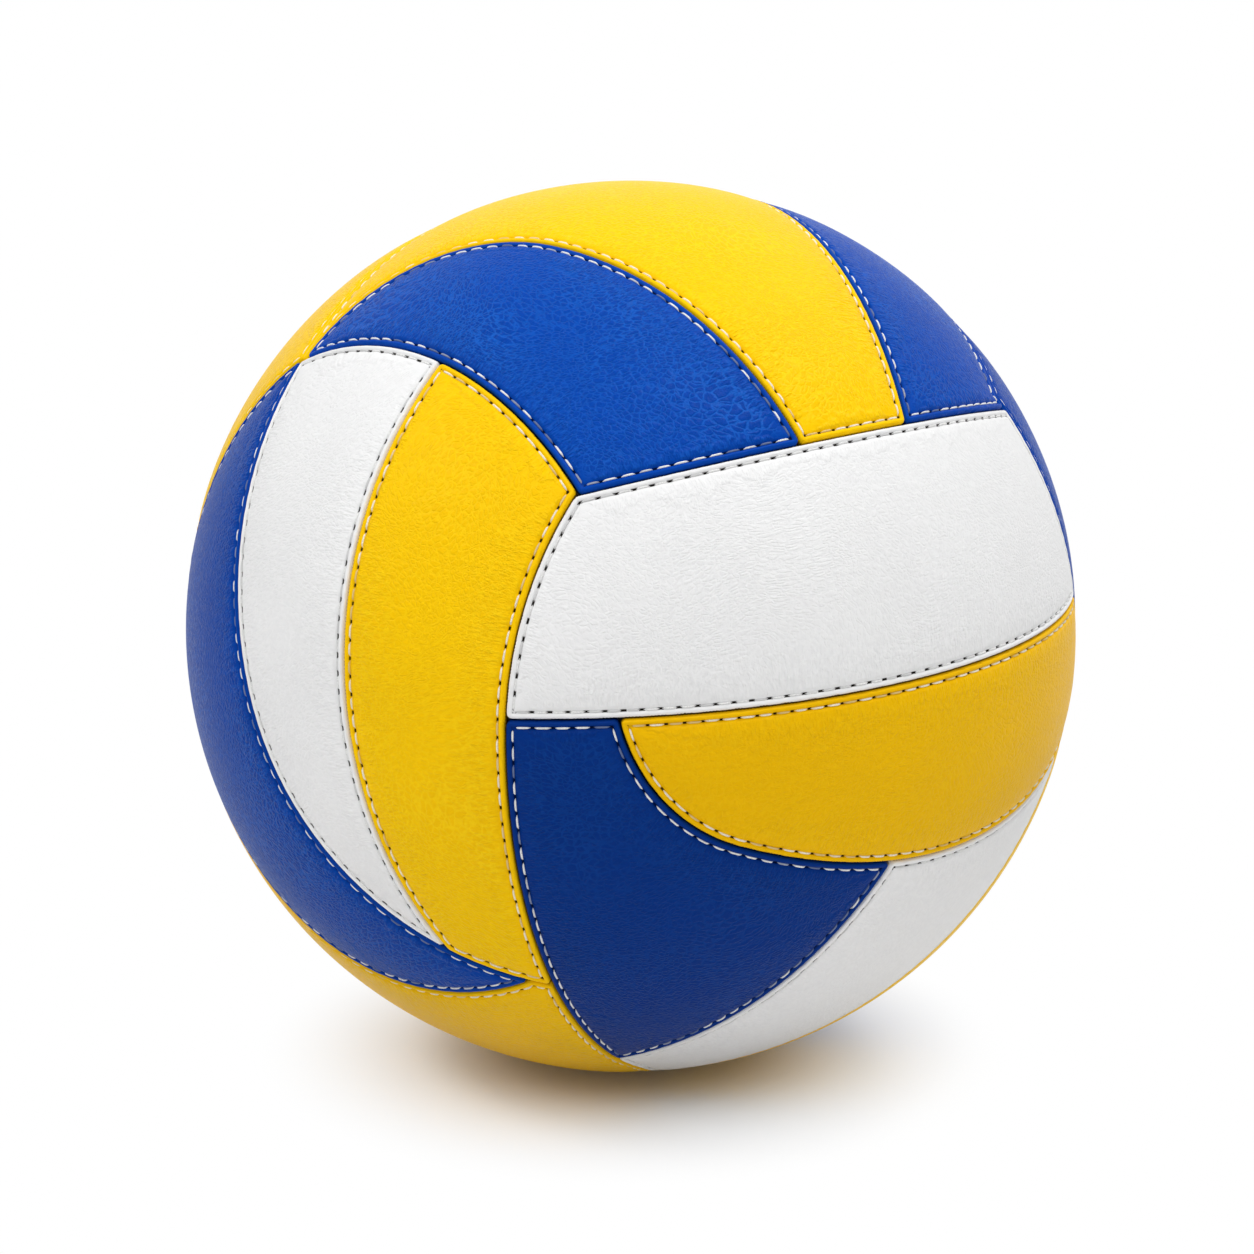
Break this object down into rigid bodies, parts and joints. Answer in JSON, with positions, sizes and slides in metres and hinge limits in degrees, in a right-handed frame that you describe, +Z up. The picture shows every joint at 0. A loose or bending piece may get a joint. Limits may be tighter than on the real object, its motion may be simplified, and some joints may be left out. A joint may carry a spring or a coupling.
{
  "type": "volleyball",
  "caption": "Round indoor volleyball of long curved leather panels in interlocking groups, stitched along every seam, over a lining and a rubber bladder with a needle valve.",
  "frame": {"origin": "centre of the ball", "axes": "+Z up as the ball rests in the picture, +Y away from the picture's camera, +X to its right"},
  "size_m": [0.21, 0.21, 0.21],
  "materials": {
    "leather_blue": "fine pebble grain, satin",
    "leather_yellow": "fine pebble grain, satin",
    "leather_white": "fine pebble grain, satin",
    "foam": "matt closed-cell foam",
    "thread": "waxed polyester",
    "lining_cloth": "matt woven",
    "bladder_rubber": "matt",
    "valve_rubber": "matt"
  },
  "bodies": {
    "root": {"cover_left_1": "leather_blue", "cover_left_2": "leather_white", "cover_left_3": "leather_yellow", "cover_top_1": "leather_blue", "cover_top_2": "leather_yellow", "cover_top_3": "leather_blue", "cover_front_1": "leather_white", "cover_front_2": "leather_yellow", "cover_front_3": "leather_blue", "cover_back_1": "leather_yellow", "cover_back_2": "leather_white", "cover_back_3": "leather_yellow", "cover_base_1": "leather_white", "cover_base_2": "leather_yellow", "cover_base_3": "leather_blue", "cover_right_1": "leather_blue", "cover_right_2": "leather_yellow", "cover_right_3": "leather_white", "foam_left_1": "foam", "foam_left_2": "foam", "foam_left_3": "foam", "foam_top_1": "foam", "foam_top_2": "foam", "foam_top_3": "foam", "foam_front_1": "foam", "foam_front_2": "foam", "foam_front_3": "foam", "foam_back_1": "foam", "foam_back_2": "foam", "foam_back_3": "foam", "foam_base_1": "foam", "foam_base_2": "foam", "foam_base_3": "foam", "foam_right_1": "foam", "foam_right_2": "foam", "foam_right_3": "foam", "topstitch_left_1": "thread", "topstitch_left_2": "thread", "topstitch_left_3": "thread", "topstitch_top_1": "thread", "topstitch_top_2": "thread", "topstitch_top_3": "thread", "topstitch_front_1": "thread", "topstitch_front_2": "thread", "topstitch_front_3": "thread", "topstitch_back_1": "thread", "topstitch_back_2": "thread", "topstitch_back_3": "thread", "topstitch_base_1": "thread", "topstitch_base_2": "thread", "topstitch_base_3": "thread", "topstitch_right_1": "thread", "topstitch_right_2": "thread", "topstitch_right_3": "thread", "lining": "lining_cloth", "bladder": "bladder_rubber", "valve_housing": "valve_rubber", "valve_core": "valve_rubber", "valve_collar": "valve_rubber"}
  },
  "joints": []
}
